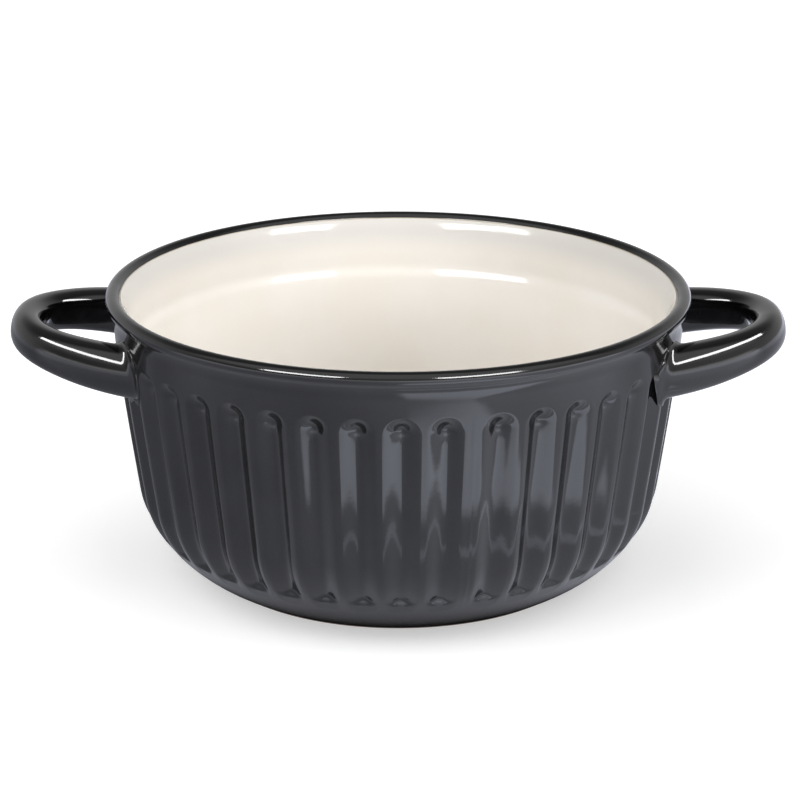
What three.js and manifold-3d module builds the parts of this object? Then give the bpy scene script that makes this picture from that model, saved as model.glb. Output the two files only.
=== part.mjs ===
// Cazuela: a round fluted stoneware casserole with a cream lining and two loop handles.
// Millimetres, +Z up. The origin is the centre of the foot, on the surface that the pot stands on.
// +X points to the right-hand handle and -Y to the front.

import * as THREE from 'three';
import { mergeVertices } from 'three/addons/utils/BufferGeometryUtils.js';
import Module from 'manifold-3d';

const wasm = await Module();
wasm.setup();

// Rolled rim
const rimDiameter = 240;
const bowlHeight = 120;
const beadRadius = 3.1;
const beadCreaseAngle = -50;
const glazeEdgeAngle = 135;
const beadEndAngle = 165;

// Collar and wall, with heights measured down from the top of the rim
const rimOverhang = 3;
const collarDrop = 21;
const wallBendDrop = 29;
const wallBendInset = 0.5;
const wallTaper = 8.7;
const clayBehindFlutes = 3.1;

// Belly, where the wall turns under towards the foot
const bellyHeight = 37;
const bellyFootAngle = 25;
const bellyFootPull = 15;
const bellyWallPull = 16;

// Foot and floor
const footDiameter = 158;
const footBevel = 1;
const footRingWidth = 9;
const footRecess = 2.5;
const floorThickness = 6.4;

// Cream lining, with its soft shoulder and flared lip
const liningThickness = 0.8;
const floorInset = 17;
const floorEdgePull = 25;
const shoulderDrop = 22;
const shoulderRise = 7;
const shoulderStep = 2.2;
const lipDrop = 16;
const lipFlarePull = 7;
const lipEdgePull = 4;

// Flutes, pressed by a mould in two halves that leaves a wider land at each of its two seams
const mouldHalves = 2;
const flutesPerHalf = 21;
const seamAngle = -75;
const seamLand = 3.8;
const fluteLand = 2.4;
const fluteDepth = 2.5;
const fluteBottomHeight = 14.5;
const fluteTopDrop = 18.5;
const fluteRound = 7.4;

// Handles
const fingerGap = 27.8;
const gripWidth = 14.7;
const gripHeight = 15.9;
const gripSquareness = 2.6;
const handleSpan = 81;
const handleSquareness = 2.19;
const handleDrop = 23.3;
const handleRise = 6.2;
const handleRootFlare = 2.4;

// Slip joints between the handle ends and the wall
const slipLength = 8.5;
const slipSpread = 1.7;
const slipBury = 5;
const armRunOut = 4;

// Fits
const seatGap = 0.3;
const cutClear = 5;

// Fineness of the round surfaces
const latheSegments = 60;
const gripSides = 12;
const handleSteps = 26;
const slipShares = [0, 0.35, 0.7, 1];
const fluteAcross = [-1, -0.5, 0, 0.5, 1];
const fluteTipShare = 0.3;
const beadTurns = [0, 45, 90];
const plainBandRows = 1;
const fluteRows = 4;
const coveRows = 1;
const floorTurnRows = 3;
const shoulderRows = 1;
const lipRows = 2;
const smallTurn = 1e-3;
const smallStep = 1e-4;

const charcoalGlaze = { color: 0x34373c, roughness: 0.12, metalness: 0 };
const creamGlaze = { color: 0xe9e0d3, roughness: 0.1, metalness: 0 };

const rimRadius = rimDiameter / 2;
const footRadius = footDiameter / 2;
const collarRadius = rimRadius - rimOverhang;
const wallThickness = clayBehindFlutes + fluteDepth + liningThickness + seatGap;
const floorHeight = footRecess + floorThickness + liningThickness + seatGap;
const toRadians = THREE.MathUtils.degToRad;

// Closed solid through a row of rings with the same number of points, with a flat cap on each end
function loft(rings) {
  const count = rings[0].length;
  const lastRow = (rings.length - 1) * count;
  const points = rings.flat();
  const index = [];
  for (let row = 0; row < lastRow; row += count) {
    for (let i = 0; i < count; i += 1) {
      const next = (i + 1) % count;
      index.push(row + i, row + next, row + count + next);
      index.push(row + i, row + count + next, row + count + i);
    }
  }
  const firstCentre = points.push(centreOf(rings[0])) - 1;
  const lastCentre = points.push(centreOf(rings.at(-1))) - 1;
  for (let i = 0; i < count; i += 1) {
    const next = (i + 1) % count;
    index.push(firstCentre, next, i);
    index.push(lastCentre, lastRow + i, lastRow + next);
  }
  return new THREE.BufferGeometry().setFromPoints(points).setIndex(index);
}

function centreOf(ring) {
  const sum = new THREE.Vector3();
  ring.forEach((point) => sum.add(point));
  return sum.divideScalar(ring.length);
}

// Closed solid of revolution about Z, from profile points of radius and height that end on the axis
function revolve(profile) {
  return new THREE.LatheGeometry(profile, latheSegments).rotateX(Math.PI / 2);
}

// Solid for cutting and joining, from a closed geometry
function solidOf(geometry) {
  const bare = new THREE.BufferGeometry();
  bare.setAttribute('position', geometry.getAttribute('position'));
  bare.setIndex(geometry.getIndex());
  const merged = mergeVertices(bare);
  const corners = merged.getIndex().array;
  const kept = [];
  for (let i = 0; i < corners.length; i += 3) {
    const [a, b, c] = corners.slice(i, i + 3);
    if (a !== b && b !== c && c !== a) kept.push(a, b, c);
  }
  const vertProperties = new Float32Array(merged.getAttribute('position').array);
  const triVerts = new Uint32Array(kept);
  return new wasm.Manifold(new wasm.Mesh({ numProp: 3, vertProperties, triVerts }));
}

function geometryOf(solid) {
  const { vertProperties, triVerts } = solid.getMesh();
  const geometry = new THREE.BufferGeometry();
  geometry.setAttribute('position', new THREE.BufferAttribute(vertProperties, 3));
  return geometry.setIndex(new THREE.BufferAttribute(triVerts, 1));
}

// Outline of the bowl from the foot up over the rim, as radius and height
const beadCentre = new THREE.Vector2(rimRadius - beadRadius, bowlHeight - beadRadius);

function beadPoint(degrees) {
  const angle = toRadians(degrees);
  return new THREE.Vector2(Math.cos(angle), Math.sin(angle)).multiplyScalar(beadRadius).add(beadCentre);
}

const footEdge = new THREE.Vector2(footRadius - footBevel, 0);
const bellyFoot = new THREE.Vector2(footRadius, footBevel);
const bellyTop = new THREE.Vector2(collarRadius - wallTaper, bellyHeight);
const wallBend = new THREE.Vector2(collarRadius - wallBendInset, bowlHeight - wallBendDrop);
const collar = new THREE.Vector2(collarRadius, bowlHeight - collarDrop);
const crease = beadPoint(beadCreaseAngle);
const coveBend = new THREE.Vector2(collarRadius, (collar.y + crease.y) / 2);
const bellyFootSlope = toRadians(bellyFootAngle);
const bellyFootWay = new THREE.Vector2(Math.cos(bellyFootSlope), Math.sin(bellyFootSlope));
const wallWay = wallBend.clone().sub(bellyTop).normalize();

const outline = new THREE.CurvePath();
outline.add(new THREE.LineCurve(footEdge, bellyFoot));
outline.add(new THREE.CubicBezierCurve(
  bellyFoot,
  bellyFoot.clone().addScaledVector(bellyFootWay, bellyFootPull),
  bellyTop.clone().addScaledVector(wallWay, -bellyWallPull),
  bellyTop,
));
outline.add(new THREE.QuadraticBezierCurve(bellyTop, wallBend, collar));
outline.add(new THREE.QuadraticBezierCurve(collar, coveBend, crease));
outline.add(new THREE.EllipseCurve(
  beadCentre.x, beadCentre.y, beadRadius, beadRadius,
  toRadians(beadCreaseAngle), toRadians(beadEndAngle),
));
const outlineLength = outline.getLength();
const [footStop, , , creaseStop] = outline.getCurveLengths();

// Distance along the outline at which it reaches a height on the wall
function stopAtHeight(height) {
  let low = 0;
  let high = creaseStop;
  while (high - low > smallStep) {
    const middle = (low + high) / 2;
    if (outline.getPoint(middle / outlineLength).y < height) low = middle;
    else high = middle;
  }
  return low;
}

const fluteStart = stopAtHeight(fluteBottomHeight);
const fluteEnd = stopAtHeight(bowlHeight - fluteTopDrop);

// Distance along the outline to a turn of the bead, counted from its widest point
function beadStop(degrees) {
  return creaseStop + beadRadius * toRadians(degrees - beadCreaseAngle);
}

// Evenly spaced distances between two ends, without the ends
function between(start, end, count) {
  return Array.from({ length: count }, (_, i) => start + ((end - start) * (i + 1)) / (count + 1));
}

const outlineStops = [
  0,
  footStop,
  ...between(footStop, fluteStart, plainBandRows),
  fluteStart,
  fluteStart + fluteRound * fluteTipShare,
  fluteStart + fluteRound,
  ...between(fluteStart + fluteRound, fluteEnd - fluteRound, fluteRows),
  fluteEnd - fluteRound,
  fluteEnd - fluteRound * fluteTipShare,
  fluteEnd,
  ...between(fluteEnd, creaseStop, coveRows),
  creaseStop,
  ...beadTurns.map(beadStop),
  beadStop(glazeEdgeAngle),
  outlineLength,
];

const seamLandAngle = seamLand / collarRadius;
const halfAngle = (2 * Math.PI) / mouldHalves;
const flutePitch = (halfAngle - seamLandAngle) / flutesPerHalf;

function fluteCentre(half, flute) {
  return toRadians(seamAngle) + half * halfAngle + seamLandAngle / 2 + (flute + 0.5) * flutePitch;
}

// How much of its full width and depth a flute has at a distance along the outline: both ends are round
function fluteShare(stop) {
  const inside = Math.min(stop - fluteStart, fluteEnd - stop) / fluteRound;
  const short = 1 - THREE.MathUtils.clamp(inside, 0, 1);
  return Math.sqrt(1 - short * short);
}

// Ring of the bowl's outside at a distance along the outline, pushed out by an offset
function bowlRing(stop, offset) {
  const { x: radius, y: height } = outline.getPoint(stop / outlineLength);
  const way = outline.getTangent(stop / outlineLength);
  const inFlutes = stop >= fluteStart && stop <= fluteEnd;
  const share = fluteShare(stop);
  const fullReach = flutePitch / 2 - fluteLand / 2 / radius;
  const reach = inFlutes ? fullReach * Math.max(share, fluteTipShare) : fullReach;
  const depth = inFlutes ? fluteDepth * share : 0;
  const ring = [];
  for (let half = 0; half < mouldHalves; half += 1) {
    for (let flute = 0; flute < flutesPerHalf; flute += 1) {
      for (const across of fluteAcross) {
        const angle = fluteCentre(half, flute) + across * reach;
        const push = offset - depth * (1 - across * across);
        const r = radius + push * way.y;
        ring.push(new THREE.Vector3(r * Math.cos(angle), r * Math.sin(angle), height - push * way.x));
      }
    }
  }
  return ring;
}

function bowlOutside(offset) {
  return solidOf(loft(outlineStops.map((stop) => bowlRing(stop, offset))));
}

// Inside of the pot from the middle of the floor up to the edge of the cream glaze
const glazeEdge = beadPoint(glazeEdgeAngle);
const glazeEdgeSlope = toRadians(glazeEdgeAngle - 90);
const glazeEdgeWay = new THREE.Vector2(Math.cos(glazeEdgeSlope), Math.sin(glazeEdgeSlope));
const floorMiddle = new THREE.Vector2(0, floorHeight);
const floorEdge = new THREE.Vector2(footRadius - floorInset, floorHeight);
const innerBelly = new THREE.Vector2(bellyTop.x - wallThickness, bellyHeight);
const innerCollarRadius = collarRadius - wallThickness;
const shoulderTop = new THREE.Vector2(innerCollarRadius, bowlHeight - shoulderDrop);
const shoulderFoot = new THREE.Vector2(innerCollarRadius - shoulderStep, shoulderTop.y - shoulderRise);
const lipFlare = new THREE.Vector2(innerCollarRadius, bowlHeight - lipDrop);
const innerWallWay = shoulderFoot.clone().sub(innerBelly).normalize();
const up = new THREE.Vector2(0, 1);

const inside = new THREE.CurvePath();
inside.add(new THREE.LineCurve(floorMiddle, floorEdge));
inside.add(new THREE.CubicBezierCurve(
  floorEdge,
  new THREE.Vector2(floorEdge.x + floorEdgePull, floorHeight),
  innerBelly.clone().addScaledVector(innerWallWay, -bellyWallPull),
  innerBelly,
));
inside.add(new THREE.LineCurve(innerBelly, shoulderFoot));
inside.add(new THREE.CubicBezierCurve(
  shoulderFoot,
  shoulderFoot.clone().addScaledVector(innerWallWay, shoulderRise / 2),
  shoulderTop.clone().addScaledVector(up, -shoulderRise / 2),
  shoulderTop,
));
inside.add(new THREE.LineCurve(shoulderTop, lipFlare));
inside.add(new THREE.CubicBezierCurve(
  lipFlare,
  lipFlare.clone().addScaledVector(up, lipFlarePull),
  glazeEdge.clone().addScaledVector(glazeEdgeWay, -lipEdgePull),
  glazeEdge,
));
const insideLength = inside.getLength();
const [floorStop, innerBellyStop, shoulderFootStop, shoulderTopStop, lipFlareStop] = inside.getCurveLengths();

const insideStops = [
  0,
  floorStop,
  ...between(floorStop, innerBellyStop, floorTurnRows),
  innerBellyStop,
  shoulderFootStop,
  ...between(shoulderFootStop, shoulderTopStop, shoulderRows),
  shoulderTopStop,
  lipFlareStop,
  ...between(lipFlareStop, insideLength - seatGap, lipRows),
  insideLength - seatGap,
];

// Point of the inside moved into the clay by a depth
function insidePoint(stop, depth) {
  const way = stop === 0 ? new THREE.Vector2(1, 0) : inside.getTangent(stop / insideLength);
  const point = inside.getPoint(stop / insideLength);
  return new THREE.Vector2(point.x + depth * way.y, point.y - depth * way.x);
}

function creamLining() {
  const seen = insideStops.map((stop) => insidePoint(stop, 0));
  const hidden = insideStops.map((stop) => insidePoint(stop, liningThickness));
  return revolve([...hidden, ...seen.reverse()]);
}

// Space inside the clay that the lining lies in, open at the top
function bowlCavity() {
  const seatDepth = liningThickness + seatGap;
  const seat = [...insideStops, insideLength].map((stop) => insidePoint(stop, seatDepth));
  const overLip = insidePoint(insideLength, -beadRadius / 2);
  const top = bowlHeight + cutClear;
  return revolve([...seat, overLip, new THREE.Vector2(overLip.x, top), new THREE.Vector2(0, top)]);
}

function footHollow() {
  const radius = footRadius - footRingWidth;
  return revolve([
    new THREE.Vector2(0, -cutClear),
    new THREE.Vector2(radius + cutClear, -cutClear),
    new THREE.Vector2(radius - footRecess, footRecess),
    new THREE.Vector2(0, footRecess),
  ]);
}

function flutedBowl() {
  const hollow = bowlOutside(0).subtract(solidOf(bowlCavity()));
  return geometryOf(hollow.subtract(solidOf(footHollow())));
}

// Centre line of the right handle: a rounded loop in a plane that rises away from the wall
const wallAtArm = Math.sqrt(collarRadius ** 2 - (handleSpan / 2) ** 2);
const loopRoot = wallAtArm - slipBury - armRunOut;
const loopEnd = collarRadius + fingerGap + gripWidth / 2;
const loopLean = Math.atan2(handleRise, loopEnd - collarRadius);
const loopNormal = new THREE.Vector3(-Math.sin(loopLean), 0, Math.cos(loopLean));

function roundedPower(value, squareness) {
  return Math.sign(value) * Math.abs(value) ** (2 / squareness);
}

function loopPoint(turn) {
  const x = loopRoot + (loopEnd - loopRoot) * roundedPower(Math.cos(turn), handleSquareness);
  const y = (handleSpan / 2) * roundedPower(Math.sin(turn), handleSquareness);
  const z = bowlHeight - handleDrop + (x - collarRadius) * Math.tan(loopLean);
  return new THREE.Vector3(x, y, z);
}

function loopTurnAt(x) {
  const share = (x - loopRoot) / (loopEnd - loopRoot);
  return Math.acos(share ** (handleSquareness / 2));
}

// Section of a handle at a turn of its loop, facing along the loop, with extra material all round
function gripRing(turn, facing, extra) {
  const way = loopPoint(turn + smallTurn).sub(loopPoint(turn - smallTurn));
  way.multiplyScalar(facing).normalize();
  const side = loopNormal.clone().cross(way);
  const flare = handleRootFlare * Math.sin(turn) ** 4;
  const halfWidth = gripWidth / 2 + flare / 2 + extra;
  const halfHeight = gripHeight / 2 + flare / 2 + extra;
  const centre = loopPoint(turn);
  return Array.from({ length: gripSides }, (_, i) => {
    const angle = ((i + 0.5) * 2 * Math.PI) / gripSides;
    const across = halfWidth * roundedPower(Math.cos(angle), gripSquareness);
    const rise = halfHeight * roundedPower(Math.sin(angle), gripSquareness);
    return centre.clone().addScaledVector(side, across).addScaledVector(loopNormal, rise);
  });
}

const seatTurn = loopTurnAt(wallAtArm + slipLength);

function handle() {
  const rings = [];
  for (let step = 0; step <= handleSteps; step += 1) {
    rings.push(gripRing(seatTurn * ((2 * step) / handleSteps - 1), 1, 0));
  }
  return loft(rings);
}

// Collar of slip that spreads from a handle end to the wall: side is -1 at the front and 1 at the back
function slipJoint(side) {
  const seatX = wallAtArm + slipLength - seatGap;
  const stations = slipShares.map((share) => seatX - slipLength * share);
  stations.push(wallAtArm - slipBury);
  const rings = stations.map((x) => {
    const share = (seatX - x) / slipLength;
    return gripRing(side * loopTurnAt(x), side, slipSpread * share * share);
  });
  return geometryOf(solidOf(loft(rings)).subtract(bowlOutside(seatGap)));
}

function piece(name, geometry, finish) {
  const mesh = new THREE.Mesh(geometry, new THREE.MeshStandardMaterial(finish));
  mesh.name = name;
  return mesh;
}

// A handle with its two slip joints, as it sits on the right
function handleSet(sideName, frontName, backName) {
  const set = new THREE.Group();
  set.add(piece(`${sideName}_handle`, handle(), charcoalGlaze));
  set.add(piece(`${sideName}_${frontName}_slip_joint`, slipJoint(-1), charcoalGlaze));
  set.add(piece(`${sideName}_${backName}_slip_joint`, slipJoint(1), charcoalGlaze));
  return set;
}

const cazuela = new THREE.Group();
cazuela.add(piece('fluted_bowl', flutedBowl(), charcoalGlaze));
cazuela.add(piece('cream_lining', creamLining(), creamGlaze));
cazuela.add(handleSet('right', 'front', 'back'));

// The left handle is the right one turned half round, so its front joint is the turned back one
const leftSet = handleSet('left', 'back', 'front');
leftSet.rotation.z = Math.PI;
cazuela.add(leftSet);

export default cazuela;
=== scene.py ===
"""Looks of the cazuela: a fluted stoneware pot with a charcoal glaze outside and a cream glaze inside.

Metres, +Z up, +X towards the right-hand handle and -Y towards the front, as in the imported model.
"""
import math

import bpy
import numpy as np
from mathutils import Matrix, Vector


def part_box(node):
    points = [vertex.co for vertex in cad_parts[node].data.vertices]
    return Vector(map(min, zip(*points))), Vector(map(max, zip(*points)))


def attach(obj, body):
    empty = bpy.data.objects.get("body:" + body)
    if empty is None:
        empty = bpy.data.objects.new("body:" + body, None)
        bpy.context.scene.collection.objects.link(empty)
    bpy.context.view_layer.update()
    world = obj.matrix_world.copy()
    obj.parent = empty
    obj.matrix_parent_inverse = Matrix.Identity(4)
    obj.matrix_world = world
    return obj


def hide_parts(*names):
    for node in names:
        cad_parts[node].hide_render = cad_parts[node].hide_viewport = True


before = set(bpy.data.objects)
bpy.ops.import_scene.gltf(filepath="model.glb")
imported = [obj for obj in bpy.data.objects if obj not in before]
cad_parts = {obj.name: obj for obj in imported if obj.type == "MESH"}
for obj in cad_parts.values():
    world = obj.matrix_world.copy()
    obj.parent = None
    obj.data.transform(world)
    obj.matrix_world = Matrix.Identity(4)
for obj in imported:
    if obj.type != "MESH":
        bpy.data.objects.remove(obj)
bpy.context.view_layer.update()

# Rolled rim
RIM_RADIUS = min(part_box("fluted_bowl")[1].xy)
BOWL_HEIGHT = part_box("fluted_bowl")[1].z
BEAD_RADIUS = 0.0031
BEAD_CREASE_ANGLE = -50
GLAZE_EDGE_ANGLE = 135

# Collar and wall, with heights measured down from the top of the rim
RIM_OVERHANG = 0.003
COLLAR_DROP = 0.012
WALL_BEND_DROP = 0.029
WALL_BEND_INSET = 0.0009
WALL_TAPER = 0.0087
CLAY_BEHIND_FLUTES = 0.0031

# Belly, where the wall turns under towards the foot
BELLY_HEIGHT = 0.037
BELLY_FOOT_ANGLE = 25
BELLY_FOOT_PULL = 0.015
BELLY_WALL_PULL = 0.016

# Foot and floor
FOOT_RADIUS = 0.079
FOOT_BEVEL = 0.001
FOOT_RING_WIDTH = 0.009
FOOT_RECESS = 0.0025
FLOOR_THICKNESS = 0.0064

# Cream lining, with its soft shoulder and flared lip
LINING_THICKNESS = 0.0008
SEAT_GAP = 0.0003
FLOOR_INSET = 0.017
FLOOR_EDGE_PULL = 0.025
SHOULDER_DROP = 0.022
SHOULDER_RISE = 0.007
SHOULDER_STEP = 0.0018
LIP_DROP = 0.0185
LIP_FLARE_PULL = 0.007
LIP_EDGE_PULL = 0.004
GLAZE_RAMP = 0.002
RIM_GLAZE_RUN = 0.0014

# Flutes, pressed by a mould in two halves that leaves a wider land at each of its two seams
MOULD_HALVES = 2
FLUTES_PER_HALF = 21
SEAM_ANGLE = -75.65
SEAM_LAND = 0.0038
SEAM_HEIGHT = 0.00018
SEAM_WIDTH = 0.0007
SEAM_FADE = 0.012
FLUTE_LAND_TOP = 0.0024
FLUTE_LAND_BOTTOM = 0.0014
FLUTE_DEPTH = 0.0025
FLUTE_BOTTOM_HEIGHT = 0.0150
FLUTE_TOP_DROP = 0.0185

# Section of a flute, as shares of its half width and the slope there in degrees
FLUTE_SLOPES = ((0, 0), (0.2, 22), (0.5, 31), (0.9, 23), (1, 0))
FLUTE_TOP_SLOPES = ((0, 0), (0.2, 14), (0.6, 30), (0.92, 30), (1, 0))

# Foot of a flute, with its ramp as distances along the wall and depths
FLUTE_FOOT_RAMP = ((0, 0), (0.0045, 0.0004), (0.0085, 0.0045), (0.0125, 0.0082))
FLUTE_FOOT_ROUND = 0.005
FLUTE_FOOT_BLEND = 0.0006
FLUTE_FOOT_SHARE = 0.92
FLUTE_FOOT_RUN = 0.025

# Dimple at the top of a flute
FLUTE_BALL_INSET = 0.0065
FLUTE_BALL_RADIUS = 0.0046
FLUTE_BALL_DEPTH = 0.0008

# Handles
FINGER_GAP = 0.0278
GRIP_WIDTH = 0.0147
GRIP_HEIGHT = 0.0159
GRIP_SQUARENESS = 2.3
HANDLE_SPAN = 0.081
HANDLE_SQUARENESS = 2.19
HANDLE_DROP = 0.0233
HANDLE_RISE = 0.0062
HANDLE_ROOT_FLARE = 0.0044
HANDLE_END_THINNING = 0.0016
HANDLE_FILLET = 0.0030
HANDLE_BURY = 0.0012
LOOP_RUN_IN = 0.009

# Points along each stretch of the outlines and of a flute's section
BELLY_POINTS = 200
WALL_POINTS = 200
COVE_POINTS = 100
FLOOR_POINTS = 60
TURN_POINTS = 120
INNER_WALL_POINTS = 80
SHOULDER_POINTS = 60
LIP_FOOT_POINTS = 20
LIP_POINTS = 100
SECTION_POINTS = 201

# Rows of the bowl, from the foot up and over the rim
ROW_MARGIN = 0.001
BELOW_FLUTES_ROWS = 8
FLUTE_FOOT_ROWS = 28
FLUTE_FOOT_ROWS_RUN = 0.010
FLUTE_MIDDLE_ROWS = 40
FLUTE_TOP_ROWS = 26
FLUTE_TOP_ROWS_RUN = 0.009
COLLAR_ROWS = 14
BEAD_ROWS = 24
RIM_GLAZE_ROWS = 5
UNDER_LINING_ROWS = 24

# Rows of the lining, from the middle of the floor up
INNERMOST_RING = 0.0025
LINING_ROWS = 60
LIP_ROWS = 40
LIP_ROWS_RUN = 0.03
GLAZE_RAMP_ROWS = 12

# Columns round the pieces, and steps along the handles
FLUTE_COLUMNS = 24
SEAM_COLUMNS = 8
LINING_COLUMNS = 240
GRIP_SIDES = 44
GRIP_STEPS = 110
ROOT_CROWDING = 1.7
ROOT_SEARCH_STEPS = 400
ROOT_SEARCH_MARGIN = 0.01
SHARP_ANGLE = 40

# Small amounts for directions along curves and against division by zero
SMALL_SHARE = 1e-3
SMALL_TURN = 1e-3
TINY = 1e-12

COLLAR_RADIUS = RIM_RADIUS - RIM_OVERHANG
WALL_THICKNESS = CLAY_BEHIND_FLUTES + FLUTE_DEPTH + LINING_THICKNESS + SEAT_GAP
FLOOR_HEIGHT = FOOT_RECESS + FLOOR_THICKNESS + LINING_THICKNESS + SEAT_GAP


def bezier(controls, count):
    """Points of a Bezier curve without its last one."""
    share = np.linspace(0, 1, count, endpoint=False)[:, None]
    points = [np.array(control, float) for control in controls]
    while len(points) > 1:
        points = [a * (1 - share) + b * share for a, b in zip(points, points[1:])]
    return points[0]


def line(start, end, count):
    return bezier([start, end], count)


def bead_point(degrees):
    """Point of the rim's bead, as radius and height."""
    angle = math.radians(degrees)
    return np.array([
        RIM_RADIUS - BEAD_RADIUS + BEAD_RADIUS * math.cos(angle),
        BOWL_HEIGHT - BEAD_RADIUS + BEAD_RADIUS * math.sin(angle),
    ])


class Outline:
    """A curve of radius and height that can be read at a distance from its start."""

    def __init__(self, points):
        self.points = np.array(points)
        steps = np.linalg.norm(np.diff(self.points, axis=0), axis=1)
        self.stops = np.concatenate([[0], np.cumsum(steps)])
        self.length = self.stops[-1]

    def at(self, stop):
        return np.array([np.interp(stop, self.stops, self.points[:, i]) for i in (0, 1)])

    def way(self, stop):
        """Unit direction of the curve."""
        small = self.length * SMALL_SHARE
        step = self.at(min(stop + small, self.length)) - self.at(max(stop - small, 0))
        return step / np.linalg.norm(step)

    def stop_at_height(self, height):
        return np.interp(height, self.points[:, 1], self.stops)

    def radius_at_height(self, height):
        return np.interp(height, self.points[:, 1], self.points[:, 0])


def wall_outline():
    """Outside of the bowl from the foot's bevel up to the crease under the bead."""
    belly_foot = np.array([FOOT_RADIUS, FOOT_BEVEL])
    belly_top = np.array([COLLAR_RADIUS - WALL_TAPER, BELLY_HEIGHT])
    wall_bend = np.array([COLLAR_RADIUS - WALL_BEND_INSET, BOWL_HEIGHT - WALL_BEND_DROP])
    collar = np.array([COLLAR_RADIUS, BOWL_HEIGHT - COLLAR_DROP])
    crease = bead_point(BEAD_CREASE_ANGLE)
    cove_bend = np.array([COLLAR_RADIUS, (collar[1] + crease[1]) / 2])
    foot_slope = math.radians(BELLY_FOOT_ANGLE)
    foot_way = np.array([math.cos(foot_slope), math.sin(foot_slope)])
    wall_way = (wall_bend - belly_top) / np.linalg.norm(wall_bend - belly_top)
    belly_controls = [
        belly_foot,
        belly_foot + foot_way * BELLY_FOOT_PULL,
        belly_top - wall_way * BELLY_WALL_PULL,
        belly_top,
    ]
    return Outline(np.vstack([
        bezier(belly_controls, BELLY_POINTS),
        bezier([belly_top, wall_bend, collar], WALL_POINTS),
        bezier([collar, cove_bend, crease], COVE_POINTS),
        crease,
    ]))


def inside_outline():
    """Inside of the pot from the middle of the floor up to the edge of the cream glaze."""
    edge = bead_point(GLAZE_EDGE_ANGLE)
    edge_slope = math.radians(GLAZE_EDGE_ANGLE - 90)
    edge_way = np.array([math.cos(edge_slope), math.sin(edge_slope)])
    floor_edge = np.array([FOOT_RADIUS - FLOOR_INSET, FLOOR_HEIGHT])
    belly = np.array([COLLAR_RADIUS - WALL_TAPER - WALL_THICKNESS, BELLY_HEIGHT])
    collar_radius = COLLAR_RADIUS - WALL_THICKNESS
    shoulder_top = np.array([collar_radius, BOWL_HEIGHT - SHOULDER_DROP])
    shoulder_foot = shoulder_top - [SHOULDER_STEP, SHOULDER_RISE]
    lip_flare = np.array([collar_radius, BOWL_HEIGHT - LIP_DROP])
    wall_way = (shoulder_foot - belly) / np.linalg.norm(shoulder_foot - belly)
    up = np.array([0, 1])
    turn_controls = [
        floor_edge,
        floor_edge + [FLOOR_EDGE_PULL, 0],
        belly - wall_way * BELLY_WALL_PULL,
        belly,
    ]
    shoulder_controls = [
        shoulder_foot,
        shoulder_foot + wall_way * SHOULDER_RISE / 2,
        shoulder_top - up * SHOULDER_RISE / 2,
        shoulder_top,
    ]
    lip_controls = [
        lip_flare,
        lip_flare + up * LIP_FLARE_PULL,
        edge - edge_way * LIP_EDGE_PULL,
        edge,
    ]
    return Outline(np.vstack([
        line([0, FLOOR_HEIGHT], floor_edge, FLOOR_POINTS),
        bezier(turn_controls, TURN_POINTS),
        line(belly, shoulder_foot, INNER_WALL_POINTS),
        bezier(shoulder_controls, SHOULDER_POINTS),
        line(shoulder_top, lip_flare, LIP_FOOT_POINTS),
        bezier(lip_controls, LIP_POINTS),
        edge,
    ]))


WALL = wall_outline()
INSIDE = inside_outline()
GLAZE_EDGE = INSIDE.length - RIM_GLAZE_RUN
FLUTE_START = WALL.stop_at_height(FLUTE_BOTTOM_HEIGHT)
FLUTE_END = WALL.stop_at_height(BOWL_HEIGHT - FLUTE_TOP_DROP)
SEAM_LAND_ANGLE = SEAM_LAND / COLLAR_RADIUS
HALF_ANGLE = 2 * math.pi / MOULD_HALVES
FLUTE_PITCH = (HALF_ANGLE - SEAM_LAND_ANGLE) / FLUTES_PER_HALF


def bowl_columns():
    """Angles of the columns round the bowl, with each one's angle from its flute and from its seam."""
    angles = []
    from_flute = []
    from_seam = []
    across = np.linspace(-0.5, 0.5, FLUTE_COLUMNS, endpoint=False) * FLUTE_PITCH
    seam_across = np.linspace(-0.5, 0.5, SEAM_COLUMNS, endpoint=False) * SEAM_LAND_ANGLE
    for half in range(MOULD_HALVES):
        seam = math.radians(SEAM_ANGLE) + half * HALF_ANGLE
        angles.extend(seam + seam_across)
        from_flute.extend(np.full(SEAM_COLUMNS, FLUTE_PITCH / 2))
        from_seam.extend(seam_across)
        for flute in range(FLUTES_PER_HALF):
            centre = seam + SEAM_LAND_ANGLE / 2 + (flute + 0.5) * FLUTE_PITCH
            angles.extend(centre + across)
            from_flute.extend(across)
            from_seam.extend(np.full(FLUTE_COLUMNS, HALF_ANGLE))
    return np.array(angles), np.array(from_flute), np.array(from_seam)


def section_depths(slopes_across, middle=None):
    """Depths of a flute from its middle to its edge, one unit away, worked out from its slopes.

    They are scaled to a depth in the middle, if one is given.
    """
    shares = np.linspace(0, 1, SECTION_POINTS)
    places, angles = np.array(slopes_across).T
    slopes = np.tan(np.radians(np.interp(shares, places, angles)))
    drops = (slopes[1:] + slopes[:-1]) / 2 * np.diff(shares)
    depths = np.append(np.cumsum(drops[::-1])[::-1], 0)
    return shares, depths * middle / depths[0] if middle else depths


SECTION = section_depths(FLUTE_SLOPES)
TOP_SECTION = section_depths(FLUTE_TOP_SLOPES, SECTION[1][0])


def lesser(first, second, blend):
    """The smaller of two depths, with a smooth change from one to the other."""
    share = np.clip(0.5 + (second - first) / blend / 2, 0, 1)
    return np.maximum(second + (first - second) * share - blend * share * (1 - share), 0)


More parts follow.
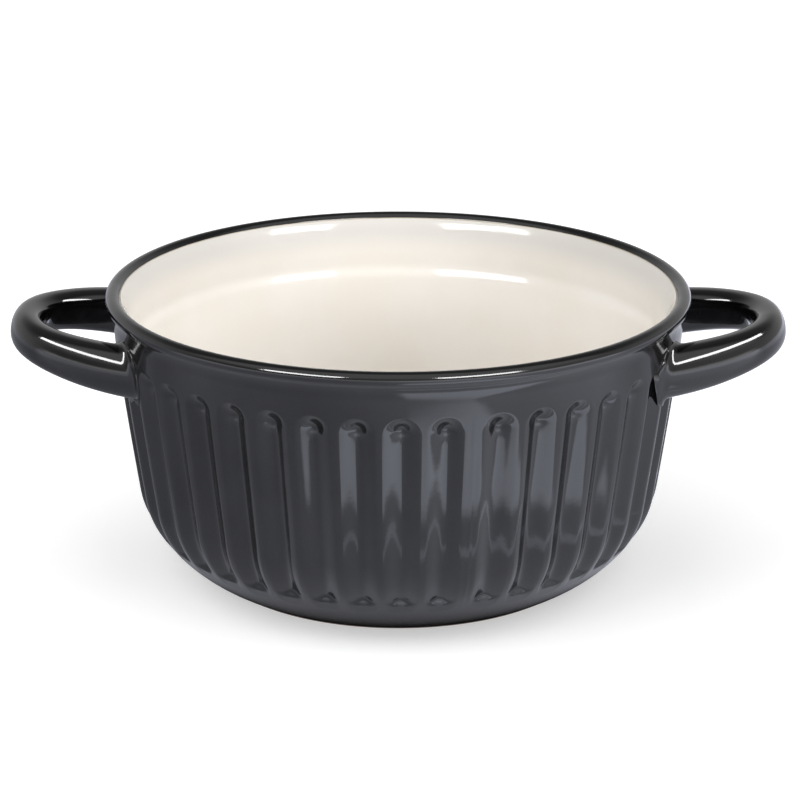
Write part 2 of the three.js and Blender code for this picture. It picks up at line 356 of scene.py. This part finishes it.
def flute_depth(stop, radius, from_flute):
    """Depth of the flutes at a distance along the wall.

    The top of a flute is round and pressed in by a ball. Its foot is shallower and ends in a steep ramp.
    """
    land = np.interp(stop, [FLUTE_START, FLUTE_END], [FLUTE_LAND_BOTTOM, FLUTE_LAND_TOP])
    half_width = FLUTE_PITCH / 2 * radius - land / 2
    across = from_flute * radius
    above = np.maximum(half_width - (FLUTE_END - stop), 0)
    share = np.hypot(across, above) / half_width
    top_share = above ** 2 / np.maximum(across ** 2 + above ** 2, TINY)
    section = np.interp(share, *SECTION)
    section = section + (np.interp(share, *TOP_SECTION) - section) * top_share
    rise = np.interp(stop, [FLUTE_START, FLUTE_START + FLUTE_FOOT_RUN], [FLUTE_FOOT_SHARE, 1])
    foot_lift = FLUTE_FOOT_ROUND * (across / half_width) ** 4
    ramp = np.interp(stop - FLUTE_START - foot_lift, *np.array(FLUTE_FOOT_RAMP).T)
    groove = lesser(half_width * rise * section, ramp, FLUTE_FOOT_BLEND)
    from_ball = np.hypot(across, FLUTE_END - FLUTE_BALL_INSET - stop)
    ball_share = np.minimum(from_ball / FLUTE_BALL_RADIUS, 1)
    return groove + FLUTE_BALL_DEPTH * (1 - ball_share ** 2) ** 2


def seam_height(stop, radius, from_seam):
    """Height of the fine line that the mould leaves along each seam, faded out at both ends."""
    places = [FLUTE_START, FLUTE_START + SEAM_FADE, FLUTE_END - SEAM_FADE, FLUTE_END]
    share = np.interp(stop, places, [0, 1, 1, 0])
    return SEAM_HEIGHT * share * np.exp(-(from_seam * radius / SEAM_WIDTH) ** 2)


def wall_stops():
    """Rows up the wall, closer together at the ends of the flutes and under the bead."""
    below = FLUTE_START - ROW_MARGIN
    low_end = FLUTE_START + FLUTE_FOOT_ROWS_RUN
    high_end = FLUTE_END - FLUTE_TOP_ROWS_RUN
    above = FLUTE_END + ROW_MARGIN
    return np.concatenate([
        np.linspace(0, below, BELOW_FLUTES_ROWS, endpoint=False),
        np.linspace(below, low_end, FLUTE_FOOT_ROWS, endpoint=False),
        np.linspace(low_end, high_end, FLUTE_MIDDLE_ROWS, endpoint=False),
        np.linspace(high_end, above, FLUTE_TOP_ROWS, endpoint=False),
        np.linspace(above, WALL.length, COLLAR_ROWS),
    ])


def ring(radius, height, angles):
    """Ring of points about Z, for one radius and height or one for each angle."""
    radius = np.broadcast_to(radius, angles.shape)
    height = np.broadcast_to(height, angles.shape)
    return np.stack([radius * np.cos(angles), radius * np.sin(angles), height], axis=1)


def inside_ring(stop, depth, angles):
    """Ring along the inside of the pot, that far below the cream glaze but not below its edge."""
    radius, height = INSIDE.at(stop)
    way = INSIDE.way(stop)
    sunk = depth * np.clip((GLAZE_EDGE - stop) / GLAZE_RAMP, 0, 1)
    return ring(radius + sunk * way[1], height - sunk * way[0], angles)


def skin(name, rings):
    """Closed smooth mesh through rings of as many points, with a point in the middle of both ends."""
    count = len(rings[0])
    points = [rings[0].mean(axis=0), *np.vstack(rings), rings[-1].mean(axis=0)]
    last = len(points) - 1
    faces = []
    for row in range(len(rings) - 1):
        base = 1 + row * count
        for i in range(count):
            after = (i + 1) % count
            faces.append((base + i, base + after, base + count + after, base + count + i))
    for i in range(count):
        after = (i + 1) % count
        faces.append((0, 1 + after, 1 + i))
        faces.append((last, last - count + i, last - count + after))
    mesh = bpy.data.meshes.new(name)
    mesh.from_pydata([tuple(point) for point in points], [], faces)
    mesh.polygons.foreach_set("use_smooth", np.ones(len(faces), bool))
    mesh.set_sharp_from_angle(angle=math.radians(SHARP_ANGLE))
    mesh.update()
    piece = bpy.data.objects.new(name, mesh)
    bpy.context.scene.collection.objects.link(piece)
    return piece


def foot_rings(angles):
    """The shallow recess under the pot and the flat ring that it stands on."""
    inner = FOOT_RADIUS - FOOT_RING_WIDTH
    outer = FOOT_RADIUS - FOOT_BEVEL
    return [
        ring(inner / 2, FOOT_RECESS, angles),
        ring(inner - FOOT_RECESS, FOOT_RECESS, angles),
        ring(inner, 0, angles),
        ring((inner + outer) / 2, 0, angles),
        ring(outer, 0, angles),
    ]


def fluted_body():
    """The bowl: foot ring, fluted wall, collar and bead, and the clay behind the lining."""
    angles, from_flute, from_seam = bowl_columns()
    rings = foot_rings(angles)
    for stop in wall_stops():
        radius, height = WALL.at(stop)
        way = WALL.way(stop)
        push = seam_height(stop, radius, from_seam) - flute_depth(stop, radius, from_flute)
        rings.append(ring(radius + push * way[1], height - push * way[0], angles))
    for degrees in np.linspace(BEAD_CREASE_ANGLE, GLAZE_EDGE_ANGLE, BEAD_ROWS)[1:]:
        rings.append(ring(*bead_point(degrees), angles))
    rim_glaze = np.linspace(INSIDE.length, GLAZE_EDGE, RIM_GLAZE_ROWS)[1:]
    under_lining = np.linspace(GLAZE_EDGE - GLAZE_RAMP, INNERMOST_RING, UNDER_LINING_ROWS)
    for stop in [*rim_glaze, *under_lining]:
        rings.append(inside_ring(stop, LINING_THICKNESS + SEAT_GAP, angles))
    return skin("fluted_body", rings)


def lining():
    """The cream glaze: the shaped inside of the pot, which thins out to its edge inside the rim.

    Each of its points keeps its distance from that edge, which the material reads.
    """
    angles = np.linspace(0, 2 * math.pi, LINING_COLUMNS, endpoint=False)
    lip_start = GLAZE_EDGE - LIP_ROWS_RUN
    ramp_start = GLAZE_EDGE - GLAZE_RAMP
    stops = np.concatenate([
        np.linspace(INNERMOST_RING, lip_start, LINING_ROWS, endpoint=False),
        np.linspace(lip_start, ramp_start, LIP_ROWS, endpoint=False),
        np.linspace(ramp_start, GLAZE_EDGE, GLAZE_RAMP_ROWS),
    ])
    hidden = [inside_ring(stop, LINING_THICKNESS, angles) for stop in stops]
    seen = [inside_ring(stop, 0, angles) for stop in stops[::-1]]
    piece = skin("cream_lining_glaze", [*hidden, *seen])
    row_distances = GLAZE_EDGE - np.concatenate([stops, stops[::-1]])
    distances = [GLAZE_EDGE, *np.repeat(row_distances, LINING_COLUMNS), GLAZE_EDGE]
    from_edge = piece.data.attributes.new("from_edge", "FLOAT", "POINT")
    from_edge.data.foreach_set("value", np.array(distances, np.float32))
    return piece


WALL_AT_ARM = math.sqrt(COLLAR_RADIUS ** 2 - (HANDLE_SPAN / 2) ** 2)
LOOP_ROOT = WALL_AT_ARM - LOOP_RUN_IN
LOOP_END = COLLAR_RADIUS + FINGER_GAP + (GRIP_WIDTH + HANDLE_END_THINNING) / 2
LOOP_LEAN = math.atan2(HANDLE_RISE, LOOP_END - COLLAR_RADIUS)
LOOP_NORMAL = np.array([-math.sin(LOOP_LEAN), 0, math.cos(LOOP_LEAN)])


def rounded_power(value, squareness):
    return np.sign(value) * np.abs(value) ** (2 / squareness)


def loop_point(turn):
    """Centre line of the right handle at turns of its loop."""
    x = LOOP_ROOT + (LOOP_END - LOOP_ROOT) * rounded_power(np.cos(turn), HANDLE_SQUARENESS)
    y = HANDLE_SPAN / 2 * rounded_power(np.sin(turn), HANDLE_SQUARENESS)
    z = BOWL_HEIGHT - HANDLE_DROP + (x - COLLAR_RADIUS) * math.tan(LOOP_LEAN)
    return np.stack([x, y, z], axis=-1)


def wall_distance(point):
    """Distance of points outside the fluted wall."""
    height = point[..., 2]
    radius = WALL.radius_at_height(height)
    in_half = (np.arctan2(point[..., 1], point[..., 0]) - math.radians(SEAM_ANGLE)) % HALF_ANGLE
    in_flute = (in_half - SEAM_LAND_ANGLE / 2) % FLUTE_PITCH - FLUTE_PITCH / 2
    hollow = flute_depth(WALL.stop_at_height(height), radius, in_flute)
    return np.hypot(point[..., 0], point[..., 1]) - radius + hollow


def grip_point(turn, angle):
    """Surface of the right handle at turns of its loop and angles of its section.

    Close to the wall the section spreads out into a fillet.
    """
    way = loop_point(turn + SMALL_TURN) - loop_point(turn - SMALL_TURN)
    way /= np.linalg.norm(way, axis=-1, keepdims=True)
    side = np.cross(LOOP_NORMAL, way)
    flare = HANDLE_ROOT_FLARE * np.sin(turn) ** 4
    thinning = HANDLE_END_THINNING * np.cos(turn) ** 2
    across = (GRIP_WIDTH + flare - thinning) / 2 * rounded_power(np.cos(angle), GRIP_SQUARENESS)
    rise = (GRIP_HEIGHT + flare) / 2 * rounded_power(np.sin(angle), GRIP_SQUARENESS)
    reach = across[..., None] * side + rise[..., None] * LOOP_NORMAL
    point = loop_point(turn) + reach
    closeness = np.clip(1 - wall_distance(point) / HANDLE_FILLET, 0, 1)
    spread = HANDLE_FILLET * (1 - np.sqrt(1 - closeness ** 2))
    return point + reach / np.linalg.norm(reach, axis=-1, keepdims=True) * spread[..., None]


def root_turn(angle, end):
    """Turn of the loop at which one line along the handle is buried in the wall, on one end of the loop."""
    turns = end * np.linspace(math.pi / 4, math.pi / 2 - ROOT_SEARCH_MARGIN, ROOT_SEARCH_STEPS)
    depth = -wall_distance(grip_point(turns, np.full(turns.shape, angle)))
    return np.interp(HANDLE_BURY, depth, turns)


def handle(name, turned):
    """A loop handle that flows into the wall at both ends, turned about Z from the right-hand side."""
    angles = (np.arange(GRIP_SIDES) + 0.5) * 2 * math.pi / GRIP_SIDES
    first = np.array([root_turn(angle, -1) for angle in angles])
    last = np.array([root_turn(angle, 1) for angle in angles])
    along = np.linspace(-1, 1, GRIP_STEPS + 1)
    crowded = np.sign(along) * (1 - (1 - np.abs(along)) ** ROOT_CROWDING)
    shares = (crowded + 1) / 2
    rings = [grip_point(first + (last - first) * share, angles) for share in shares]
    cosine = math.cos(turned)
    sine = math.sin(turned)
    turn = np.array([[cosine, sine, 0], [-sine, cosine, 0], [0, 0, 1]])
    return skin(name, [points @ turn for points in rings])


# Camera

CAMERA_PLACE = Vector((0.0007, -1.1, 0.4399))
CAMERA_PITCH = 18.6
CAMERA_LENS = 125.34
CAMERA_SENSOR = 36


def add_camera():
    data = bpy.data.cameras.new("camera")
    data.sensor_width = CAMERA_SENSOR
    data.lens = CAMERA_LENS
    camera = bpy.data.objects.new("camera", data)
    camera.location = CAMERA_PLACE
    camera.rotation_euler = (math.radians(90 - CAMERA_PITCH), 0, 0)
    bpy.context.scene.collection.objects.link(camera)
    bpy.context.scene.camera = camera


# Material nodes

def add_node(tree, kind, inputs, **settings):
    """Adds a node, with inputs given by name or number as values or as outputs of other nodes."""
    made = tree.nodes.new(kind)
    for name, value in settings.items():
        setattr(made, name, value)
    for name, value in inputs.items():
        if isinstance(value, bpy.types.NodeSocket):
            tree.links.new(value, made.inputs[name])
        else:
            made.inputs[name].default_value = value
    return made


def worked_out(tree, operation, first, second=0.0):
    return add_node(tree, "ShaderNodeMath", {0: first, 1: second}, operation=operation).outputs[0]


def product(tree, first, *others):
    for other in others:
        first = worked_out(tree, "MULTIPLY", first, other)
    return first


def eased(tree, value, low, high, to_low=0.0, to_high=1.0):
    """Goes smoothly from one number to another as a value goes from low to high."""
    limits = {"Value": value, "From Min": low, "From Max": high, "To Min": to_low, "To Max": to_high}
    return add_node(tree, "ShaderNodeMapRange", limits, interpolation_type="SMOOTHSTEP").outputs["Result"]


def blended(tree, share, first, second):
    """Colour between two colours."""
    colours = {0: share, 6: first, 7: second}
    return add_node(tree, "ShaderNodeMix", colours, data_type="RGBA").outputs[2]


def axes_of(tree, vector):
    return add_node(tree, "ShaderNodeSeparateXYZ", {"Vector": vector}).outputs


def length_of(tree, vector):
    return add_node(tree, "ShaderNodeVectorMath", {0: vector}, operation="LENGTH").outputs["Value"]


def noise(tree, place, cells, detail):
    """Cloudy numbers around a half, with so many cells to a metre."""
    settings = {"Vector": place, "Scale": cells, "Detail": detail}
    return add_node(tree, "ShaderNodeTexNoise", settings).outputs["Fac"]


def stored(tree, name):
    return add_node(tree, "ShaderNodeAttribute", {}, attribute_name=name).outputs["Fac"]


def bumped(tree, height, distance, under=None):
    """Normals of a bump of that height in metres, on top of other normals."""
    inputs = {"Height": height, "Distance": distance, "Strength": 1.0}
    if under:
        inputs["Normal"] = under
    return add_node(tree, "ShaderNodeBump", inputs).outputs["Normal"]


def new_material(name):
    """A new material, its tree and shader, and the place of each point in metres."""
    material = bpy.data.materials.new(name)
    material.use_nodes = True
    tree = material.node_tree
    place = tree.nodes.new("ShaderNodeTexCoord").outputs["Object"]
    return material, tree, tree.nodes["Principled BSDF"], place


# Glazes, with noises in cells to a metre and with lengths in metres

CHARCOAL_DARK = (0.0070, 0.0072, 0.0080, 1)
CHARCOAL_LIGHT = (0.0115, 0.0118, 0.0130, 1)
CHARCOAL_THIN = (0.026, 0.023, 0.022, 1)
CHARCOAL_CLOUDS = 45
CHARCOAL_WAVES = 60
SPECKLES = 900
SPECKLE_RANGE = (0.62, 0.8)
SPECKLE_SHARE = 0.5
THIN_HEIGHTS = (0.004, 0.016)
THIN_SHARE = 0.8
THIN_RAGGED = 0.002
BARE_CLAY = (0.30, 0.20, 0.13, 1)
BARE_HEIGHTS = (0.0001, 0.0003)
BARE_ROUGHNESS = 0.8
PINHOLE_SPACING = 0.012
PINHOLE_RADIUS = 0.0006
PINHOLE_DEPTH = 0.0002
PINHOLE_SHARE = 0.06

CREAM = (0.74, 0.712, 0.672, 1)
CREAM_CLOUD = (0.72, 0.68, 0.625, 1)
CREAM_CLOUDS = 30
CREAM_WAVES = 50
# Painted shade: a greyer cream over the lip, fullest near the glaze's edge
CREAM_LIP_PAINTED_SHADE = (0.60, 0.58, 0.55, 1)
CREAM_LIP_SHADE_BAND = (0.005, 0.017)
CREAM_EDGE = (0.36, 0.31, 0.24, 1)
CREAM_EDGE_BAND = (0.0001, 0.0007)
CREAM_EDGE_RAGGED = 0.0002

GLAZE_IOR = 1.52
GLAZE_ROUGHNESS = (0.07, 0.11)
GLOSS_CLOUDS = 120
WAVE_HEIGHT = 0.0002
PEEL = 500
PEEL_HEIGHT = 0.00001
MIDDLE_OF_NOISE = (0.3, 0.7)
MOST_OF_NOISE = (0.2, 0.8)


def pinholes(tree, place):
    """1 in the middle of a few small pits, scattered in some of the cells of a grid."""
    cells = add_node(tree, "ShaderNodeTexVoronoi", {"Vector": place, "Scale": 1 / PINHOLE_SPACING})
    pit = eased(tree, cells.outputs["Distance"], 0, PINHOLE_RADIUS / PINHOLE_SPACING, 1, 0)
    draw = add_node(tree, "ShaderNodeSeparateColor", {"Color": cells.outputs["Color"]}).outputs[0]
    chosen = worked_out(tree, "LESS_THAN", draw, PINHOLE_SHARE)
    return product(tree, pit, chosen)


def glossy_surface(tree, place, waves):
    """Roughness and normals of a glaze that is a little wavy, with fine peel."""
    gloss = eased(tree, noise(tree, place, GLOSS_CLOUDS, detail=2), *MIDDLE_OF_NOISE, *GLAZE_ROUGHNESS)
    wavy = bumped(tree, noise(tree, place, waves, detail=1), WAVE_HEIGHT)
    peel = bumped(tree, noise(tree, place, PEEL, detail=1), PEEL_HEIGHT, wavy)
    return gloss, peel


def charcoal_glaze():
    """Dark grey glossy glaze, clouded, speckled and pitted, browner low down and missing under the foot."""
    material, tree, shader, place = new_material("charcoal_glaze")
    height = axes_of(tree, place)["Z"]
    clouds = noise(tree, place, CHARCOAL_CLOUDS, detail=3)
    colour = blended(tree, eased(tree, clouds, *MIDDLE_OF_NOISE), CHARCOAL_DARK, CHARCOAL_LIGHT)
    grain = noise(tree, place, SPECKLES, detail=2)
    colour = blended(tree, eased(tree, grain, *SPECKLE_RANGE, 0, SPECKLE_SHARE), colour, CHARCOAL_THIN)
    ragged = eased(tree, clouds, *MOST_OF_NOISE, -THIN_RAGGED, THIN_RAGGED)
    thin = eased(tree, worked_out(tree, "ADD", height, ragged), *THIN_HEIGHTS, THIN_SHARE, 0)
    colour = blended(tree, thin, colour, CHARCOAL_THIN)
    bare = eased(tree, height, *BARE_HEIGHTS, 1, 0)
    colour = blended(tree, bare, colour, BARE_CLAY)
    gloss, peel = glossy_surface(tree, place, CHARCOAL_WAVES)
    roughness = worked_out(tree, "MAXIMUM", gloss, product(tree, bare, BARE_ROUGHNESS))
    pitted = bumped(tree, pinholes(tree, place), -PINHOLE_DEPTH, peel)
    tree.links.new(colour, shader.inputs["Base Color"])
    tree.links.new(roughness, shader.inputs["Roughness"])
    tree.links.new(pitted, shader.inputs["Normal"])
    shader.inputs["IOR"].default_value = GLAZE_IOR
    return material


def cream_glaze():
    """Warm cream glossy glaze, softly clouded, with painted shade greying the lip, and brown at its thin
    edge.
    """
    material, tree, shader, place = new_material("cream_glaze")
    clouds = noise(tree, place, CREAM_CLOUDS, detail=3)
    colour = blended(tree, eased(tree, clouds, *MIDDLE_OF_NOISE), CREAM, CREAM_CLOUD)
    ragged = eased(tree, clouds, *MOST_OF_NOISE, -CREAM_EDGE_RAGGED, CREAM_EDGE_RAGGED)
    from_edge = worked_out(tree, "ADD", stored(tree, "from_edge"), ragged)
    # Painted shade greys the cream on the lip
    colour = blended(tree, eased(tree, from_edge, *CREAM_LIP_SHADE_BAND, 1, 0), colour, CREAM_LIP_PAINTED_SHADE)
    colour = blended(tree, eased(tree, from_edge, *CREAM_EDGE_BAND, 1, 0), colour, CREAM_EDGE)
    gloss, peel = glossy_surface(tree, place, CREAM_WAVES)
    tree.links.new(colour, shader.inputs["Base Color"])
    tree.links.new(gloss, shader.inputs["Roughness"])
    tree.links.new(peel, shader.inputs["Normal"])
    shader.inputs["IOR"].default_value = GLAZE_IOR
    return material


# Floor

WHITE = (1, 1, 1, 1)
FLOOR_HALF = 3.0
FLOOR_COLOUR = (0.92, 0.92, 0.92, 1)
FLOOR_ROUGHNESS = 0.9
FLOOR_GLOW_NEAR = 0.50
FLOOR_GLOW_FAR = 1.0
FLOOR_GLOW_RANGE = (0.2, 1.6)
CARD_LIFT = 0.0005

# Ground of the card that the glaze mirrors
GROUND_COLOUR = (0.96, 0.98, 1.10, 1)
GROUND_LEFT = 0.62
GROUND_RIGHT = 1.2
# Painted shadow of the pot on the mirrored ground, dark at its foot
GROUND_SIDES = (-0.20, 0.20)
GROUND_IN_FOOT_SHADOW = 0.0
GROUND_FOOT_SHADOW_END = 0.104
GROUND_OUTER_SHARE = 1.35
GROUND_OUTER_RANGE = (0.2, 0.45)
GROUND_FAR_SHARE = 1.8
GROUND_FAR_RANGE = (0.5, 0.9)
GROUND_BACK_SHARE = 0.45
GROUND_BACK_RANGE = (-0.12, 0.05)

# Bright sector of the card, and the stripe between it and the pot
SECTOR_COLOUR = (0.91, 0.96, 1.10, 1)
SECTOR_STRENGTH = 1.6
SECTOR_LEFT = -0.018
SECTOR_LEFT_SLANT = 0.104
SECTOR_RIGHT = 0.150
SECTOR_RIGHT_EDGE = 0.012
SECTOR_NEAR = 0.193
SECTOR_EDGE = 0.008
SECTOR_FADE_RANGE = (0.20, 0.34)
SECTOR_FADE_SLANT = 0.5
STRIPE_NEAR = 0.1615
STRIPE_FAR = 0.1655
STRIPE_EDGE = 0.002
STRIPE_SHARE = 0.5

# Collections of what the lights shine on
RECEIVER_NAMES = ("lit_floor", "lit_body", "lit_lining", "lit_handles")
RECEIVERS = {name: bpy.data.collections.new(name) for name in RECEIVER_NAMES}


def add_sheet(name, half, height, material):
    """A square sheet that is no part of the pot."""
    corners = [(-half, -half, height), (half, -half, height), (half, half, height), (-half, half, height)]
    mesh = bpy.data.meshes.new(name)
    mesh.from_pydata(corners, [], [(0, 1, 2, 3)])
    mesh.materials.append(material)
    sheet = bpy.data.objects.new(name, mesh)
    bpy.context.scene.collection.objects.link(sheet)
    return sheet


def floor_paper():
    """Matt white, with a glow that grows away from the pot."""
    material, tree, shader, place = new_material("floor_paper")
    shader.inputs["Base Color"].default_value = FLOOR_COLOUR
    shader.inputs["Roughness"].default_value = FLOOR_ROUGHNESS
    shader.inputs["Specular IOR Level"].default_value = 0
    shader.inputs["Emission Color"].default_value = WHITE
    glow = eased(tree, length_of(tree, place), *FLOOR_GLOW_RANGE, FLOOR_GLOW_NEAR, FLOOR_GLOW_FAR)
    tree.links.new(glow, shader.inputs["Emission Strength"])
    return material


def card_ground(tree, axes, away):
    """Strength of the ground: brighter to the right and far away, dim behind, and dark at the foot with a
    painted shadow of the pot.
    """
    sides = eased(tree, axes["X"], *GROUND_SIDES, GROUND_LEFT, GROUND_RIGHT)
    # Painted shadow of the pot round its foot
    clear_of_foot_shadow = eased(tree, away, FOOT_RADIUS, GROUND_FOOT_SHADOW_END, GROUND_IN_FOOT_SHADOW, 1)
    outer = eased(tree, away, *GROUND_OUTER_RANGE, 1, GROUND_OUTER_SHARE)
    far = eased(tree, away, *GROUND_FAR_RANGE, 1, GROUND_FAR_SHARE)
    back = eased(tree, axes["Y"], *GROUND_BACK_RANGE, 1, GROUND_BACK_SHARE)
    return product(tree, sides, clear_of_foot_shadow, outer, far, back)


def card_sector(tree, axes, away):
    """Share of light in the sector to the right of the front, and in its stripe."""
    slant = product(tree, axes["Y"], SECTOR_LEFT_SLANT)
    straightened = worked_out(tree, "ADD", axes["X"], slant)
    from_left = eased(tree, straightened, SECTOR_LEFT - SECTOR_EDGE, SECTOR_LEFT + SECTOR_EDGE)
    right_range = (SECTOR_RIGHT - SECTOR_RIGHT_EDGE, SECTOR_RIGHT + SECTOR_RIGHT_EDGE)
    to_right = eased(tree, axes["X"], *right_range, 1, 0)
    beyond = eased(tree, away, SECTOR_NEAR - SECTOR_EDGE, SECTOR_NEAR + SECTOR_EDGE)
    reach = worked_out(tree, "SUBTRACT", away, product(tree, axes["X"], SECTOR_FADE_SLANT))
    fading = eased(tree, reach, *SECTOR_FADE_RANGE, 1, 0)
    from_stripe = eased(tree, away, STRIPE_NEAR - STRIPE_EDGE, STRIPE_NEAR)
    to_stripe = eased(tree, away, STRIPE_FAR, STRIPE_FAR + STRIPE_EDGE, 1, 0)
    stripe = product(tree, from_stripe, to_stripe, STRIPE_SHARE)
    lit = worked_out(tree, "ADD", product(tree, beyond, fading), stripe)
    return product(tree, from_left, to_right, lit)


def floor_glow():
    """Light that the glaze mirrors from the floor."""
    material, tree, shader, place = new_material("floor_glow")
    axes = axes_of(tree, place)
    away = length_of(tree, place)
    share = card_sector(tree, axes, away)
    sector = product(tree, share, SECTOR_STRENGTH)
    strength = worked_out(tree, "ADD", sector, card_ground(tree, axes, away))
    colour = blended(tree, share, GROUND_COLOUR, SECTOR_COLOUR)
    glow = add_node(tree, "ShaderNodeEmission", {"Color": colour, "Strength": strength})
    tree.links.new(glow.outputs[0], tree.nodes["Material Output"].inputs["Surface"])
    tree.nodes.remove(shader)
    return material


def add_floor():
    """The floor that is seen, and a card just above it that only shows in the glaze."""
    floor = add_sheet("floor", FLOOR_HALF, 0, floor_paper())
    floor.visible_glossy = False
    RECEIVERS["lit_floor"].objects.link(floor)
    card = add_sheet("floor_card", FLOOR_HALF, CARD_LIFT, floor_glow())
    card.visible_camera = False
    card.visible_diffuse = False
    card.visible_transmission = False
    card.visible_volume_scatter = False
    card.visible_shadow = False


# Room, with ranges along one axis of the direction that it is seen in

WORLD_SEEN = 1.0
WORLD_FILL = 0.18
ROOM_FRONT_LEFT = 0.3
ROOM_FRONT_RIGHT = 0.7
ROOM_SIDES = (-0.7, 0.7)
ROOM_BACK = 0.65
ROOM_BACK_RANGE = (-0.5, 0.3)
OVERHEAD_FRONT = 1.15
OVERHEAD_BACK = 0.2
OVERHEAD_BACK_RANGE = (-0.1, 0.25)
OVERHEAD_RANGE = (0.3, 0.7)
HORIZON = 1.8
HORIZON_HALF = 0.12
HORIZON_BACK_RANGE = (-0.3, 0)


def mirrored_room(tree):
    """Strength of the room that the glaze mirrors.

    Its front is dim with a bright horizon and a bright ceiling, and its back is even with a dim ceiling.
    """
    axes = axes_of(tree, tree.nodes.new("ShaderNodeTexCoord").outputs["Generated"])
    front = eased(tree, axes["X"], *ROOM_SIDES, ROOM_FRONT_LEFT, ROOM_FRONT_RIGHT)
    around = eased(tree, axes["Y"], *ROOM_BACK_RANGE, front, ROOM_BACK)
    overhead = eased(tree, axes["Y"], *OVERHEAD_BACK_RANGE, OVERHEAD_FRONT, OVERHEAD_BACK)
    room = eased(tree, axes["Z"], *OVERHEAD_RANGE, around, overhead)
    from_level = worked_out(tree, "ABSOLUTE", axes["Z"])
    horizon = eased(tree, from_level, 0, HORIZON_HALF, HORIZON, 0)
    in_front = eased(tree, axes["Y"], *HORIZON_BACK_RANGE, 1, 0)
    return worked_out(tree, "ADD", room, product(tree, horizon, in_front))


def add_world():
    """White behind the pot, a soft fill, and the room that the glaze mirrors."""
    world = bpy.data.worlds.new("studio")
    world.use_nodes = True
    tree = world.node_tree
    rays = tree.nodes.new("ShaderNodeLightPath").outputs
    seen = product(tree, rays["Is Camera Ray"], WORLD_SEEN)
    mirrored = product(tree, rays["Is Glossy Ray"], mirrored_room(tree))
    spread = product(tree, rays["Is Diffuse Ray"], WORLD_FILL)
    strength = worked_out(tree, "ADD", worked_out(tree, "ADD", seen, mirrored), spread)
    tree.links.new(strength, tree.nodes["Background"].inputs["Strength"])
    tree.nodes["Background"].inputs["Color"].default_value = WHITE
    bpy.context.scene.world = world


# Soft lights: name, receivers, azimuth from the front, elevation, distance, width, height and watts
SOFT_LIGHTS = (
    ("left_light", "lit_lining", -54, 22, 1.3, 0.7, 0.5, 9.6),
    ("right_light", "lit_lining", 62, 22, 1.3, 0.8, 0.5, 14),
    ("top_light", "lit_lining", 0, 80, 1.3, 0.8, 0.8, 6),
    ("front_light", "lit_lining", 0, 28, 1.6, 1.0, 0.5, 5),
    ("back_light", "lit_lining", 180, 35, 1.3, 0.8, 0.5, 6),
    ("left_floor_light", "lit_floor", -60, 50, 1.5, 1.2, 1.2, 9),
    ("right_floor_light", "lit_floor", 60, 50, 1.5, 1.2, 1.2, 7),
    ("top_floor_light", "lit_floor", 180, 80, 1.5, 1.4, 1.4, 6),
)

# Lights that only make highlights in the glaze, given in the same way
HIGHLIGHTS = (
    ("left_rim_highlight", "lit_body", -37, 30, 1.3, 0.65, 0.30, 14),
    ("right_rim_highlight", "lit_body", 31, 30, 1.3, 0.65, 0.30, 14),
    ("left_inside_highlight", "lit_lining", -42, 30, 1.3, 0.90, 0.32, 8),
    ("right_inside_highlight", "lit_lining", 47, 30, 1.3, 0.62, 0.32, 6),
    ("left_handle_highlight", "lit_handles", -55, 46, 1.3, 1.7, 0.24, 29),
    ("right_handle_highlight", "lit_handles", 62, 46, 1.3, 1.9, 0.24, 33),
)


def add_softbox(name, receivers, azimuth, elevation, distance, width, height, power, mirrored):
    """A rectangular light that is aimed at the pot and lights only its receivers.

    A mirrored one only makes highlights, and the others make none.
    """
    turn = math.radians(azimuth)
    rise = math.radians(elevation)
    aim = Vector((0, 0, BOWL_HEIGHT / 2))
    way = Vector((math.sin(turn) * math.cos(rise), -math.cos(turn) * math.cos(rise), math.sin(rise)))
    light = bpy.data.lights.new(name, "AREA")
    light.shape = "RECTANGLE"
    light.size = width
    light.size_y = height
    light.energy = power
    softbox = bpy.data.objects.new(name, light)
    softbox.location = aim + way * distance
    softbox.rotation_euler = (-way).to_track_quat("-Z", "Y").to_euler()
    softbox.visible_diffuse = not mirrored
    softbox.visible_glossy = mirrored
    softbox.light_linking.receiver_collection = RECEIVERS[receivers]
    bpy.context.scene.collection.objects.link(softbox)


add_camera()
add_floor()
add_world()
for values in SOFT_LIGHTS:
    add_softbox(*values, mirrored=False)
for values in HIGHLIGHTS:
    add_softbox(*values, mirrored=True)
bpy.context.scene.view_settings.view_transform = "Standard"

charcoal = charcoal_glaze()
cream = cream_glaze()

body = fluted_body()
body.data.materials.append(charcoal)
RECEIVERS["lit_body"].objects.link(body)
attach(body, "root")
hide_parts("fluted_bowl")

cream_skin = lining()
cream_skin.data.materials.append(cream)
RECEIVERS["lit_lining"].objects.link(cream_skin)
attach(cream_skin, "root")
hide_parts("cream_lining")

for side, turned in (("right", 0), ("left", math.pi)):
    loop = handle(f"{side}_loop_handle", turned)
    loop.data.materials.append(charcoal)
    RECEIVERS["lit_handles"].objects.link(loop)
    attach(loop, "root")
    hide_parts(f"{side}_handle", f"{side}_front_slip_joint", f"{side}_back_slip_joint")
